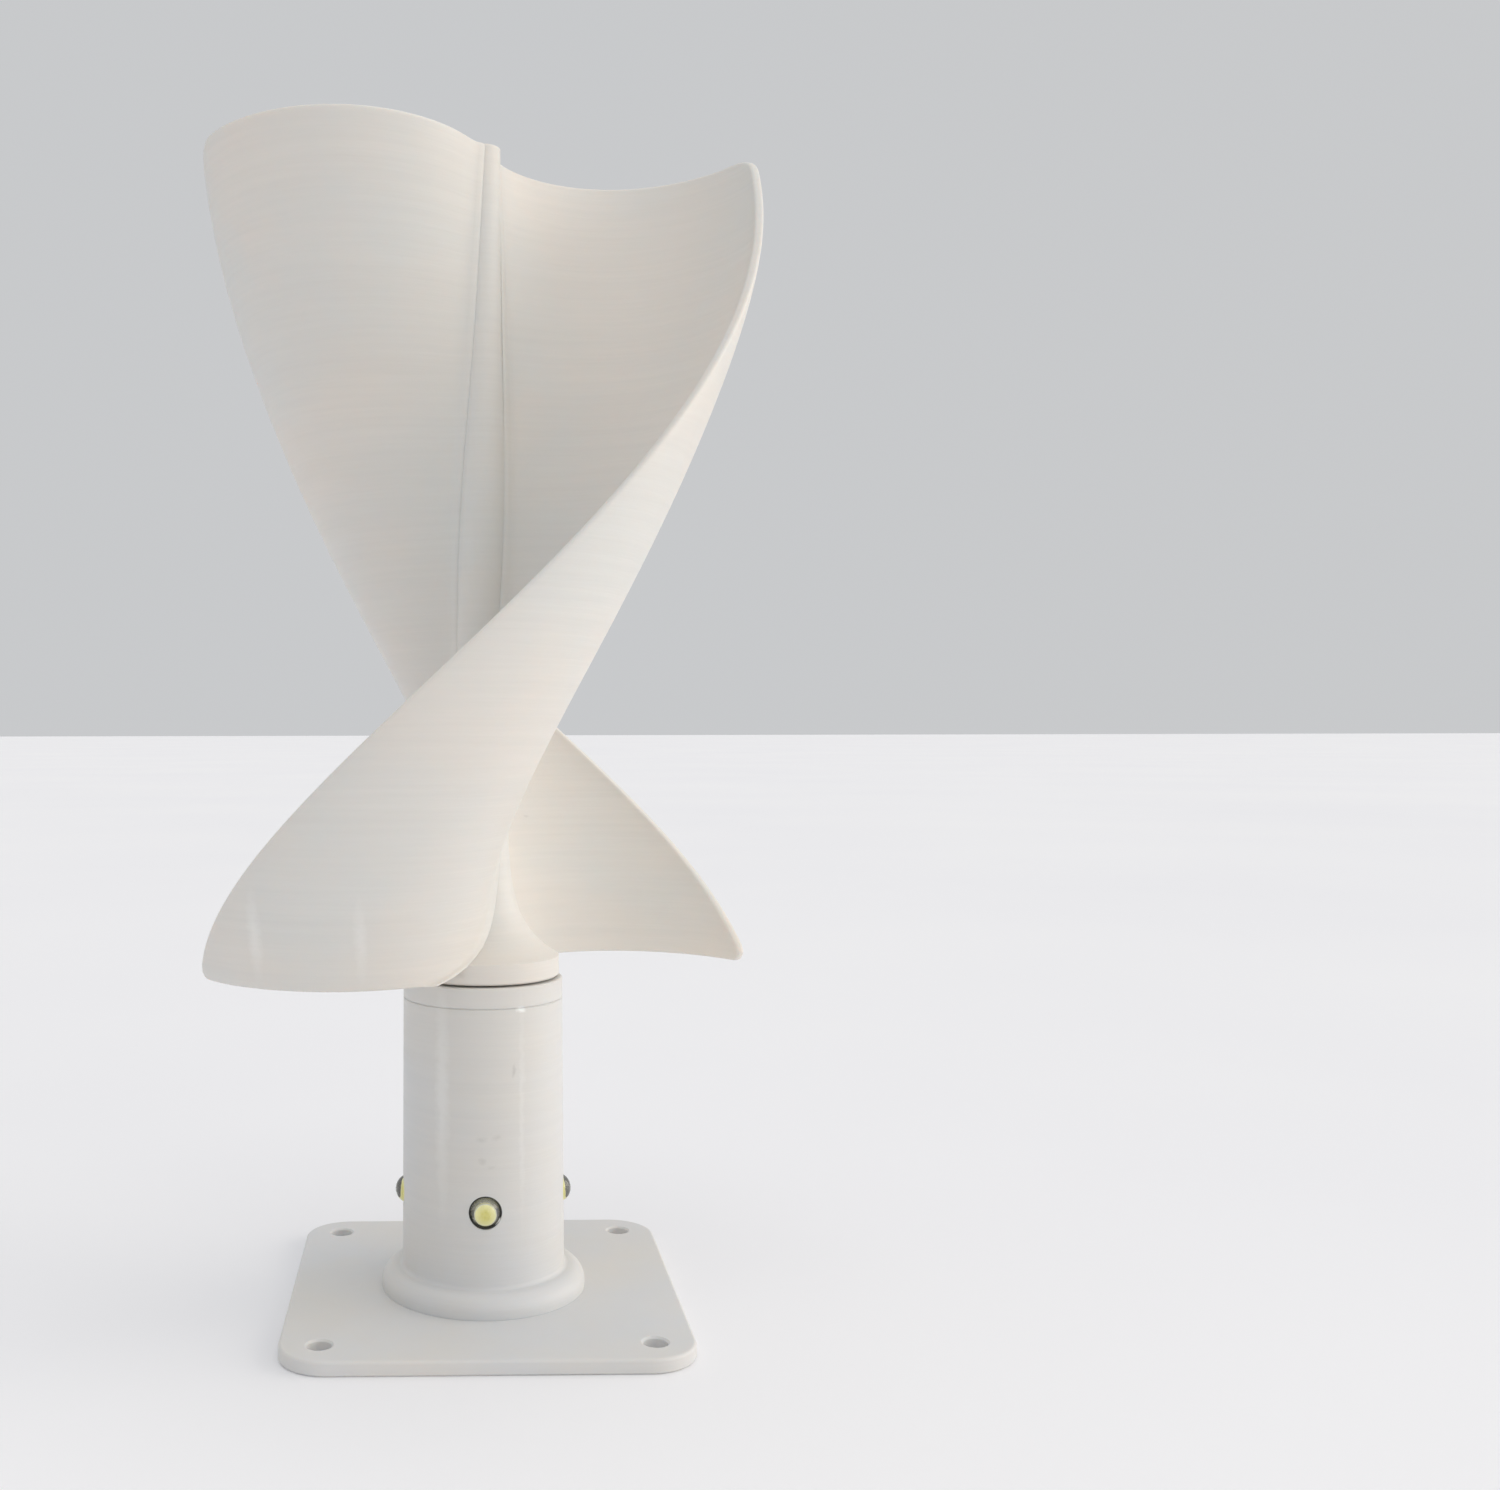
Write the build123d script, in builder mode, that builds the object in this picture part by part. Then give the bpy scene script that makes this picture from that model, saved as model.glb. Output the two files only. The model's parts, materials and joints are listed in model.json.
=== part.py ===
from build123d import *

import os
from math import cos, exp, hypot, pi, radians, sin

# A small vertical-axis wind turbine: a twisted two-blade rotor turns a three-phase generator in the
# top of a tube tower, and the tower carries four LEDs that the generator lights.
# Millimetres, +Z up. The origin is the centre of the base plate's underside, on the rotor's axis.
# Angles are in degrees about +Z, counted from +X. The front is -Y.

# ---------------------------------------------------------------- driving dimensions

# Base plate
base_side = 66.8
base_thickness = 2.4
base_corner_radius = 8.0
base_edge_round = 0.5
base_underside_chamfer = 0.3
mount_hole_spacing = 53.5
mount_hole_radius = 2.0
mount_hole_chamfer = 0.3
spigot_height = 1.6
spigot_wall = 1.6

# Tower tube, with a slight draft and a rounded foot
tube_top = 53.0
tube_top_radius = 14.0
tube_foot_radius = 14.2
tube_bore_radius = 12.5
foot_radius = 17.8
foot_height = 3.7
foot_round = 2.75
foot_hollow = 0.75
seam_chamfer = 0.2
bonded_fit = 0.05

# Tower cap
cap_thickness = 3.5
cap_plug_depth = 1.5
cap_bore_radius = 2.8
running_gap = 0.35

# Rotor: two identical blades half a turn apart, bonded to a tapered hub. At rest it stands turned by
# rotor_rest_turn.
rotor_radius = 49.0
rotor_top = 202.1
rotor_rest_turn = 1.8
blade_clearance = 0.65
blade_depth = 19.6
blade_thickness = 1.5
blade_power = 2 / 3
blade_twist = 174.9
twist_bow = 12.4
twist_skew = 1.8
blade_sections = 14
blade_side_points = 16
blade_root = 0.004
root_flare = 1.3
root_flare_length = 1.2
top_corner_radius = 13.0
bottom_corner_radius = 1.3
corner_cutter_depth = 9.0
corner_cutter_size = 12.0
hub_rim_radius = 13.4
hub_rim_height = 3.45
hub_core_radius = 4.4
hub_tip_radius = 3.4
hub_flare_length = 5.3
hub_taper_start = 130.0
hub_taper_end = 182.0
hub_flare_points = 12
hub_taper_points = 6
hub_rim_chamfer = 0.3

# Shaft and the brass sleeve in the hub
shaft_radius = 1.0
shaft_top = 66.0
sleeve_radius = 3.0
sleeve_height = 9.5

# Generator: a steel can under the cap, with the wound stator round a ring magnet
generator_radius = 12.2
generator_height = 10.2
case_wall = 0.5
case_top_thickness = 1.0
end_plate_thickness = 1.0
bush_radius = 2.5
bush_length = 2.6
boss_radius = 3.5
shaft_running_fit = 0.03
stator_thickness = 3.6
stator_yoke_inner_radius = 10.2
pole_count = 6
pole_width = 2.6
pole_shoe_outer_radius = 7.7
pole_shoe_inner_radius = 6.9
pole_shoe_gap = 1.8
pole_overlap = 0.4
coil_width = 5.4
coil_height = 6.4
coil_corner_radius = 1.2
coil_inner_radius = 7.9
coil_outer_radius = 9.7
coil_slack = 0.15
magnet_radius = 6.3
magnet_height = 4.2
carrier_radius = 2.6
thrust_washer_thickness = 0.5

# Generator screws, through the cap into the can
generator_screw_count = 3
generator_screw_circle = 8.0
generator_screw_length = 6.3

# Tower screws, up through the base plate into the foot
tower_screw_count = 4
tower_screw_circle = 15.0
tower_screw_length = 5.2

# The same slender countersunk screw serves both
screw_shank_radius = 1.0
screw_head_radius = 1.9
screw_head_height = 0.9
screw_hole_clearance = 0.03
screw_recess_width = 0.4
screw_recess_depth = 0.5
countersink_angle = 90

# Rectifier board on three posts
board_bottom = 33.0
board_thickness = 1.0
board_radius = 11.9
post_count = 3
post_circle = 10.2
post_radius = 1.9
post_height = 8.0
post_rib_width = 2.4
post_rib_overlap = 0.2
board_screw_shank_radius = 0.8
board_screw_head_radius = 1.5
board_screw_head_height = 1.1
board_screw_length = 5.0
board_screw_clearance = 0.1
diode_circle = 9.4
diode_length = 2.0
diode_width = 1.3
diode_height = 0.9
diode_spread = 15.0
diode_tab_length = 0.35
diode_tab_thickness = 0.2
capacitor_radius = 2.5
capacitor_height = 6.3
capacitor_round = 0.4
capacitor_lead_radius = 0.25
capacitor_lead_spacing = 2.0
lead_stub = 0.6

# Phase wires, from the stator down to the board
phase_wire_radius = 0.4
phase_wire_circle = 9.0
phase_wire_end_circle = 7.8
phase_wire_bend = 7.5
phase_wire_stub = 1.1
phase_wire_straight = 3.8
phase_wire_jog = 3.0
wire_hole_clearance = 0.05

# LEDs: 5 mm round lamps, each in a black bezel sleeve, on their own bent legs
led_height = 19.0
led_angles = {"led_front": 270.0, "led_right": 0.0, "led_back": 90.0, "led_left": 180.0}
led_radius = 2.5
led_flange_radius = 2.9
led_flange_thickness = 1.0
led_back_reach = 6.8
led_tip_reach = 15.45
leg_thickness = 0.5
leg_half_spacing = 1.27
leg_front_reach = 10.1
leg_rise_reach = 4.4
leg_bend = 0.8
leg_hole_radius = 0.43
cup_radius = 0.85
cup_back_reach = 9.6
cup_front_reach = 10.4
phosphor_radius = 0.74
phosphor_thickness = 0.3
bezel_radius = 2.78
bezel_wall = 0.24
bezel_back_reach = 8.0
bezel_recess = 0.1
bezel_hole_clearance = 0.02

# ---------------------------------------------------------------- worked out from them

foot_top = base_thickness + foot_height
cap_top = tube_top + cap_thickness
hub_bottom = cap_top + running_gap
blade_bottom = hub_bottom + blade_clearance
hub_rim_top = hub_bottom + hub_rim_height
generator_top = tube_top - cap_plug_depth
generator_bottom = generator_top - generator_height
case_inner_radius = generator_radius - case_wall
end_plate_top = generator_bottom + end_plate_thickness
stator_mid = (end_plate_top + generator_top - case_top_thickness) / 2
lower_bush_top = generator_bottom + bush_length
magnet_bottom = lower_bush_top + thrust_washer_thickness + 2 * shaft_running_fit
board_top = board_bottom + board_thickness

standing = (Align.CENTER, Align.CENTER, Align.MIN)
hanging = (Align.CENTER, Align.CENTER, Align.MAX)

os.makedirs("parts", exist_ok=True)


# ---------------------------------------------------------------- helpers

def upright_plane(angle, height=0.0):
    """A plane that holds the Z axis: its x runs outward at the angle, its y runs up."""
    outward = (cos(radians(angle)), sin(radians(angle)), 0)
    return Plane(origin=(0, 0, height), x_dir=outward, z_dir=(outward[1], -outward[0], 0))


def facing_plane(angle, height, reach=0.0):
    """A plane square to the outward direction at the angle: its z runs outward, its y runs up."""
    outward = (cos(radians(angle)), sin(radians(angle)), 0)
    origin = (reach * outward[0], reach * outward[1], height)
    return Plane(origin=origin, x_dir=(-outward[1], outward[0], 0), z_dir=outward)


def countersunk_screw(length):
    """A flat-head screw, its head's face at z = 0 and its shank below, with a cross recess."""
    with BuildPart() as screw:
        with BuildSketch(Plane.XZ):
            with BuildLine():
                Polyline(
                    (0, 0),
                    (screw_head_radius, 0),
                    (screw_shank_radius, -screw_head_height),
                    (screw_shank_radius, -length + screw_shank_radius / 2),
                    (screw_shank_radius / 2, -length),
                    (0, -length),
                    close=True,
                )
            make_face()
        revolve(axis=Axis.Z)
        with BuildSketch():
            Rectangle(screw_head_radius, screw_recess_width)
            Rectangle(screw_recess_width, screw_head_radius)
        extrude(amount=-screw_recess_depth, mode=Mode.SUBTRACT)
    return screw.part


def pan_head_screw():
    """A small self-tapping screw for the board: the head's underside is at z = 0."""
    with BuildPart() as screw:
        Cylinder(board_screw_head_radius, board_screw_head_height, align=standing)
        fillet(screw.edges().sort_by(Axis.Z)[-1], board_screw_head_height / 2)
        Cylinder(board_screw_shank_radius, board_screw_length, align=hanging)
        with BuildSketch(Plane.XY.offset(board_screw_head_height)):
            Rectangle(board_screw_head_radius, screw_recess_width)
            Rectangle(screw_recess_width, board_screw_head_radius)
        extrude(amount=-screw_recess_depth, mode=Mode.SUBTRACT)
    return screw.part


def hub_radius(height):
    """The hub's outside: a straight core that flares to the rim below and narrows to the tip above."""
    flare = (hub_rim_radius - hub_core_radius) * exp((hub_rim_top - height) / hub_flare_length)
    taper = min(max((height - hub_taper_start) / (hub_taper_end - hub_taper_start), 0), 1)
    narrowing = (hub_core_radius - hub_tip_radius) * (1 - cos(pi * taper)) / 2
    return hub_core_radius + flare - narrowing


def blade_angle(height):
    """The direction of a blade's chord: 0 at the top, and turning faster towards the bottom."""
    rise = (height - blade_bottom) / (rotor_top - blade_bottom)
    bow = 4 * rise * (1 - rise)
    skew = 2 * bow * (1 - 2 * rise)
    return -blade_twist * (1 - rise) + twist_bow * bow + twist_skew * skew


def blade_outside(share):
    """A point on the blade's outer face, a share of the way along the chord from axis to free edge."""
    return rotor_radius * share, blade_depth * (4 * share * (1 - share)) ** blade_power


def blade_side_points_at(height, turn):
    """Points along the outer and the inner face of one blade's section, from root to free edge."""
    angle = radians(blade_angle(height) + turn)
    nudge = 1e-4
    outer = []
    inner = []
    for i in range(blade_side_points + 1):
        share = blade_root + (1 - blade_root) * (1 - cos(pi * i / blade_side_points)) / 2
        x, y = blade_outside(share)
        x_before, y_before = blade_outside(share - nudge)
        x_after, y_after = blade_outside(min(share + nudge, 1))
        run = hypot(x_after - x_before, y_after - y_before)
        normal = ((y_before - y_after) / run, (x_after - x_before) / run)
        beyond_hub = hypot(x, y) - hub_radius(height)
        flare = root_flare * min(exp(-beyond_hub / root_flare_length), 1)
        for side, offset in ((outer, flare), (inner, -blade_thickness - flare)):
            px = x + normal[0] * offset
            py = y + normal[1] * offset
            side.append((px * cos(angle) - py * sin(angle), px * sin(angle) + py * cos(angle)))
    return outer, inner


def free_edge_lean(height):
    """How far the free edge runs sideways per millimetre of height, measured round the rotor."""
    step = 0.01
    turned = blade_angle(height + step / 2) - blade_angle(height - step / 2)
    return rotor_radius * radians(turned) / step


def make_blade(turn):
    """One blade, turned about the axis, with its free corners rounded and its root cut to the hub."""
    with BuildPart() as blade:
        for i in range(blade_sections + 1):
            height = blade_bottom + (rotor_top - blade_bottom) * i / blade_sections
            outer_points, inner_points = blade_side_points_at(height, turn)
            with BuildSketch(Plane.XY.offset(height)):
                with BuildLine():
                    outer_face = Spline(*outer_points)
                    inner_face = Spline(*inner_points)
                    Line(outer_face @ 0, inner_face @ 0)
                    Line(outer_face @ 1, inner_face @ 1)
                make_face()
        loft()
        for height, up, radius in (
            (rotor_top, 1, top_corner_radius),
            (blade_bottom, -1, bottom_corner_radius),
        ):
            # In the cutting plane x runs from the free edge into the blade, and y runs up
            level = Vector(1, 0)
            edge = Vector(-up * free_edge_lean(height), -up).normalized()
            outward = (edge * level.dot(edge) - level).normalized()
            half_corner = radians(level.get_angle(edge)) / 2
            reach = radius * cos(half_corner) / sin(half_corner)
            on_level = level * reach
            on_edge = edge * reach
            bisector = (level + edge).normalized()
            on_arc = bisector * (radius / sin(half_corner) - radius)
            edge_side = on_edge + outward * corner_cutter_size
            level_side = on_level + Vector(0, up) * corner_cutter_size
            angle = blade_angle(height) + turn
            with BuildSketch(facing_plane(angle, height, rotor_radius - corner_cutter_depth)):
                with BuildLine():
                    ThreePointArc(on_level, on_arc, on_edge)
                    Polyline(on_edge, edge_side, bisector * -corner_cutter_size, level_side, on_level)
                make_face()
            extrude(amount=2 * corner_cutter_depth, mode=Mode.SUBTRACT)
        add(hub_envelope.part, mode=Mode.SUBTRACT)
    return blade


# ---------------------------------------------------------------- base plate

with BuildPart() as base_plate:
    with BuildSketch():
        RectangleRounded(base_side, base_side, base_corner_radius)
    extrude(amount=base_thickness)
    fillet(base_plate.faces().sort_by(Axis.Z)[-1].edges(), base_edge_round)
    chamfer(base_plate.faces().sort_by(Axis.Z)[0].edges(), base_underside_chamfer)
    with BuildSketch(Plane.XY.offset(base_thickness)):
        Circle(tube_bore_radius - bonded_fit)
        Circle(tube_bore_radius - bonded_fit - spigot_wall, mode=Mode.SUBTRACT)
    extrude(amount=spigot_height)
    with BuildSketch():
        with GridLocations(mount_hole_spacing, mount_hole_spacing, 2, 2):
            Circle(mount_hole_radius)
    extrude(amount=base_thickness, mode=Mode.SUBTRACT)
    hole_rims = base_plate.edges().filter_by(GeomType.CIRCLE).filter_by(
        lambda edge: abs(edge.radius - mount_hole_radius) < 0.01 and edge.center().Z > base_thickness / 2
    )
    chamfer(hole_rims, mount_hole_chamfer)
    with Locations(Plane.XY.rotated((180, 0, 0))):
        with PolarLocations(tower_screw_circle, tower_screw_count, 45):
            CounterSinkHole(
                screw_shank_radius + screw_hole_clearance,
                screw_head_radius + screw_hole_clearance,
                depth=base_thickness,
                counter_sink_angle=countersink_angle,
            )


# ---------------------------------------------------------------- tower tube

with BuildPart() as tower_tube:
    with BuildSketch(Plane.XZ) as tube_profile:
        with BuildLine():
            Polyline(
                (tube_bore_radius, base_thickness),
                (foot_radius, base_thickness),
                (foot_radius, foot_top),
                (tube_foot_radius, foot_top),
                (tube_top_radius, tube_top),
                (tube_bore_radius, tube_top),
                close=True,
            )
        make_face()
        fillet(tube_profile.vertices().sort_by_distance((foot_radius, foot_top))[0], foot_round)
        fillet(tube_profile.vertices().sort_by_distance((tube_foot_radius, foot_top))[0], foot_hollow)
        chamfer(tube_profile.vertices().sort_by_distance((tube_top_radius, tube_top))[0], seam_chamfer)
    revolve(axis=Axis.Z)
    # Posts for the board, each tied to the wall by a rib
    with BuildSketch(Plane.XY.offset(board_bottom)):
        with PolarLocations(post_circle, post_count, 90):
            Circle(post_radius)
        with PolarLocations((post_circle + tube_bore_radius) / 2, post_count, 90):
            Rectangle(tube_bore_radius - post_circle + 2 * post_rib_overlap, post_rib_width)
    extrude(amount=-post_height)
    with Locations((0, 0, board_bottom)):
        with PolarLocations(post_circle, post_count, 90):
            Hole(board_screw_shank_radius + screw_hole_clearance, board_screw_length)
    with Locations((0, 0, base_thickness)):
        with PolarLocations(tower_screw_circle, tower_screw_count, 45):
            Cylinder(
                screw_shank_radius + screw_hole_clearance,
                tower_screw_length - base_thickness + screw_hole_clearance,
                align=standing,
                mode=Mode.SUBTRACT,
            )
    for angle in led_angles.values():
        with BuildSketch(facing_plane(angle, led_height)):
            Circle(bezel_radius + bezel_hole_clearance)
        extrude(amount=foot_radius, mode=Mode.SUBTRACT)

with BuildPart() as tower_screws:
    with Locations(Plane.XY.rotated((180, 0, 0))):
        with PolarLocations(tower_screw_circle, tower_screw_count, 45):
            add(countersunk_screw(tower_screw_length))


# ---------------------------------------------------------------- tower cap

with BuildPart() as tower_cap:
    with BuildSketch(Plane.XZ) as cap_profile:
        with BuildLine():
            Polyline(
                (cap_bore_radius, generator_top),
                (tube_bore_radius - bonded_fit, generator_top),
                (tube_bore_radius - bonded_fit, tube_top),
                (tube_top_radius, tube_top),
                (tube_top_radius, cap_top),
                (cap_bore_radius, cap_top),
                close=True,
            )
        make_face()
        chamfer(cap_profile.vertices().sort_by(Axis.X)[-2:], seam_chamfer)
    revolve(axis=Axis.Z)
    with Locations((0, 0, cap_top)):
        with PolarLocations(generator_screw_circle, generator_screw_count, 30):
            CounterSinkHole(
                screw_shank_radius + screw_hole_clearance,
                screw_head_radius + screw_hole_clearance,
                depth=cap_top - generator_top,
                counter_sink_angle=countersink_angle,
            )

with BuildPart() as generator_screws:
    with Locations((0, 0, cap_top)):
        with PolarLocations(generator_screw_circle, generator_screw_count, 30):
            add(countersunk_screw(generator_screw_length))


# ---------------------------------------------------------------- generator

with BuildPart() as generator_case:
    with BuildSketch(Plane.XZ) as case_profile:
        with BuildLine():
            Polyline(
                (bush_radius, generator_top),
                (generator_radius, generator_top),
                (generator_radius, generator_bottom),
                (case_inner_radius, generator_bottom),
                (case_inner_radius, generator_top - case_top_thickness),
                (boss_radius, generator_top - case_top_thickness),
                (boss_radius, generator_top - bush_length),
                (bush_radius, generator_top - bush_length),
                close=True,
            )
        make_face()
        fillet(case_profile.vertices().sort_by_distance((generator_radius, generator_top))[0], case_wall)
    revolve(axis=Axis.Z)
    with Locations((0, 0, generator_top)):
        with PolarLocations(generator_screw_circle, generator_screw_count, 30):
            Hole(screw_shank_radius + screw_hole_clearance, 2 * case_top_thickness)

with BuildPart() as generator_end_plate:
    with BuildSketch(Plane.XZ):
        with BuildLine():
            Polyline(
                (bush_radius, generator_bottom),
                (case_inner_radius - bonded_fit, generator_bottom),
                (case_inner_radius - bonded_fit, end_plate_top),
                (boss_radius, end_plate_top),
                (boss_radius, lower_bush_top),
                (bush_radius, lower_bush_top),
                close=True,
            )
        make_face()
    revolve(axis=Axis.Z)
    with BuildSketch(Plane.XY.offset(generator_bottom)):
        with PolarLocations(phase_wire_circle, 3, 30):
            Circle(phase_wire_radius + wire_hole_clearance)
    extrude(amount=end_plate_thickness, mode=Mode.SUBTRACT)

with BuildPart() as stator_core:
    with BuildSketch(Plane.XY.offset(stator_mid)):
        # The yoke, then the ring of pole shoes with its gaps, then the poles that join the two
        Circle(case_inner_radius - bonded_fit)
        Circle(stator_yoke_inner_radius, mode=Mode.SUBTRACT)
        Circle(pole_shoe_outer_radius)
        Circle(pole_shoe_inner_radius, mode=Mode.SUBTRACT)
        with PolarLocations(pole_shoe_inner_radius, pole_count, 180 / pole_count):
            Rectangle(
                4 * (pole_shoe_outer_radius - pole_shoe_inner_radius), pole_shoe_gap, mode=Mode.SUBTRACT
            )
        with PolarLocations((pole_shoe_outer_radius + stator_yoke_inner_radius) / 2, pole_count):
            Rectangle(stator_yoke_inner_radius - pole_shoe_outer_radius + 2 * pole_overlap, pole_width)
    extrude(amount=stator_thickness / 2, both=True)

with BuildPart() as stator_windings:
    for i in range(pole_count):
        with BuildSketch(facing_plane(i * 360 / pole_count, stator_mid, coil_inner_radius)):
            RectangleRounded(coil_width, coil_height, coil_corner_radius)
            Rectangle(pole_width + 2 * coil_slack, stator_thickness + 2 * coil_slack, mode=Mode.SUBTRACT)
        extrude(amount=coil_outer_radius - coil_inner_radius)


def make_bush(bottom):
    """A plain bronze bush that the shaft runs in."""
    with BuildPart() as bush:
        with BuildSketch(Plane.XY.offset(bottom)):
            Circle(bush_radius)
            Circle(shaft_radius + shaft_running_fit, mode=Mode.SUBTRACT)
        extrude(amount=bush_length)
    return bush


bearing_lower = make_bush(generator_bottom)
bearing_upper = make_bush(generator_top - bush_length)

with BuildPart() as rotor_shaft:
    with BuildSketch(Plane.XY.offset(generator_bottom)):
        Circle(shaft_radius)
    extrude(amount=shaft_top - generator_bottom)
    chamfer(rotor_shaft.edges().filter_by(GeomType.CIRCLE), shaft_radius / 4)

with BuildPart() as thrust_washer:
    with BuildSketch(Plane.XY.offset(lower_bush_top + shaft_running_fit)):
        Circle(carrier_radius)
        Circle(shaft_radius, mode=Mode.SUBTRACT)
    extrude(amount=thrust_washer_thickness)

with BuildPart() as magnet_carrier:
    with BuildSketch(Plane.XY.offset(magnet_bottom)):
        Circle(carrier_radius)
        Circle(shaft_radius, mode=Mode.SUBTRACT)
    extrude(amount=magnet_height)

with BuildPart() as ring_magnet:
    with BuildSketch(Plane.XY.offset(magnet_bottom)):
        Circle(magnet_radius)
        Circle(carrier_radius, mode=Mode.SUBTRACT)
    extrude(amount=magnet_height)
    chamfer(ring_magnet.edges().filter_by(GeomType.CIRCLE).group_by(SortBy.RADIUS)[-1], coil_slack)


# ---------------------------------------------------------------- rotor

with BuildPart() as hub_envelope:
    with BuildSketch(Plane.XZ):
        with BuildLine():
            Polyline(
                (0, hub_bottom),
                (hub_rim_radius - hub_rim_chamfer, hub_bottom),
                (hub_rim_radius, hub_bottom + hub_rim_chamfer),
                (hub_rim_radius, hub_rim_top),
            )
            # The flare's points stand closer together near the rim
            flare_steps = [i / 4 * (1 + i / 8) for i in range(hub_flare_points + 1)]
            flare_heights = [hub_rim_top + hub_flare_length * step for step in flare_steps]
            flare = Spline([(hub_radius(h), h) for h in flare_heights])
            Line(flare @ 1, (hub_radius(hub_taper_start), hub_taper_start))
            taper_step = (hub_taper_end - hub_taper_start) / hub_taper_points
            taper_heights = [hub_taper_start + taper_step * i for i in range(hub_taper_points + 1)]
            taper = Spline([(hub_radius(h), h) for h in taper_heights])
            Polyline(taper @ 1, (hub_tip_radius, rotor_top), (0, rotor_top), (0, hub_bottom))
        make_face()
    revolve(axis=Axis.Z)

with BuildPart() as rotor_hub:
    add(hub_envelope.part)
    with BuildSketch(Plane.XY.offset(hub_bottom)):
        Circle(sleeve_radius)
    extrude(amount=sleeve_height, mode=Mode.SUBTRACT)

with BuildPart() as hub_sleeve:
    with BuildSketch(Plane.XY.offset(hub_bottom)):
        Circle(sleeve_radius)
        Circle(shaft_radius, mode=Mode.SUBTRACT)
    extrude(amount=sleeve_height)

blade_a = make_blade(rotor_rest_turn)
blade_b = make_blade(rotor_rest_turn + 180)


# ---------------------------------------------------------------- rectifier board

with BuildPart() as rectifier_board:
    with BuildSketch(Plane.XY.offset(board_bottom)):
        Circle(board_radius)
        with PolarLocations(post_circle, post_count, 90):
            Circle(board_screw_shank_radius + board_screw_clearance, mode=Mode.SUBTRACT)
        with PolarLocations(phase_wire_end_circle, 3, 30):
            Circle(phase_wire_radius + wire_hole_clearance, mode=Mode.SUBTRACT)
        with GridLocations(capacitor_lead_spacing, 0, 2, 1):
            Circle(capacitor_lead_radius + wire_hole_clearance, mode=Mode.SUBTRACT)
        for angle in led_angles.values():
            with PolarLocations(leg_rise_reach, 1, angle):
                with GridLocations(0, 2 * leg_half_spacing, 1, 2):
                    Circle(leg_hole_radius, mode=Mode.SUBTRACT)
    extrude(amount=board_thickness)

with BuildPart() as board_screws:
    with Locations((0, 0, board_top)):
        with PolarLocations(post_circle, post_count, 90):
            add(pan_head_screw())

with BuildPart() as rectifier_diodes:
    for side in (-1, 1):
        tab_reach = diode_length + 2 * diode_tab_length
        with BuildSketch(Plane.XY.offset(board_top + diode_tab_thickness)):
            with PolarLocations(diode_circle, 3, 30 + side * diode_spread):
                Rectangle(diode_length, diode_width)
        extrude(amount=diode_height)
        with BuildSketch(Plane.XY.offset(board_top)):
            with PolarLocations(diode_circle, 3, 30 + side * diode_spread):
                Rectangle(tab_reach, diode_width / 2)
        extrude(amount=2 * diode_tab_thickness)

with BuildPart() as smoothing_capacitor:
    with Locations((0, 0, board_top)):
        Cylinder(capacitor_radius, capacitor_height, align=standing)
    fillet(smoothing_capacitor.edges().sort_by(Axis.Z)[-1], capacitor_round)
    with BuildSketch(Plane.XY.offset(board_top)):
        with GridLocations(capacitor_lead_spacing, 0, 2, 1):
            Circle(capacitor_lead_radius)
    extrude(amount=-board_thickness - lead_stub)

with BuildPart() as phase_wires:
    for i in range(3):
        start = end_plate_top + phase_wire_stub
        jog_top = start - phase_wire_straight
        with BuildLine(upright_plane(30 + 120 * i)) as wire_route:
            FilletPolyline(
                (phase_wire_circle, start),
                (phase_wire_circle, jog_top),
                (phase_wire_end_circle, jog_top - phase_wire_jog),
                (phase_wire_end_circle, board_bottom + lead_stub / 2),
                radius=phase_wire_bend,
            )
        with BuildSketch(Plane(origin=wire_route.line @ 0, z_dir=wire_route.line % 0)):
            Circle(phase_wire_radius)
        sweep(path=wire_route.line)


# ---------------------------------------------------------------- LEDs

with BuildPart() as led_legs:
    for angle in led_angles.values():
        sideways = facing_plane(angle, led_height).x_dir
        for side in (-1, 1):
            leg_plane = upright_plane(angle, led_height)
            leg_plane.origin = leg_plane.origin + sideways * side * leg_half_spacing
            with BuildLine(leg_plane) as leg_route:
                FilletPolyline(
                    (leg_front_reach, 0),
                    (leg_rise_reach, 0),
                    (leg_rise_reach, board_top + lead_stub - led_height),
                    radius=leg_bend,
                )
            with BuildSketch(Plane(origin=leg_route.line @ 0, x_dir=(0, 0, 1), z_dir=leg_route.line % 0)):
                Rectangle(leg_thickness, leg_thickness)
            sweep(path=leg_route.line)
        # The reflector cup, on a bar from the leg beside it
        with BuildSketch(facing_plane(angle, led_height, cup_back_reach)):
            Circle(cup_radius)
        extrude(amount=cup_front_reach - cup_back_reach)
        with BuildSketch(facing_plane(angle, led_height, cup_back_reach)):
            with Locations((leg_half_spacing / 2, 0)):
                Rectangle(leg_half_spacing, leg_thickness)
        extrude(amount=leg_thickness)

with BuildPart() as led_phosphors:
    for angle in led_angles.values():
        with BuildSketch(facing_plane(angle, led_height, cup_front_reach)):
            Circle(phosphor_radius)
        extrude(amount=phosphor_thickness)


def make_led(angle):
    """One clear lamp, moulded round its legs and phosphor."""
    with BuildPart() as lamp:
        with BuildSketch(upright_plane(angle, led_height)):
            with BuildLine():
                barrel = Polyline(
                    (led_back_reach, 0),
                    (led_back_reach, led_flange_radius),
                    (led_back_reach + led_flange_thickness, led_flange_radius),
                    (led_back_reach + led_flange_thickness, led_radius),
                    (led_tip_reach - led_radius, led_radius),
                )
                dome = RadiusArc(barrel @ 1, (led_tip_reach, 0), led_radius)
                Line(dome @ 1, barrel @ 0)
            make_face()
        outward = facing_plane(angle, led_height).z_dir
        revolve(axis=Axis((0, 0, led_height), outward))
        add(led_legs.part, mode=Mode.SUBTRACT)
        add(led_phosphors.part, mode=Mode.SUBTRACT)
    return lamp


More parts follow.
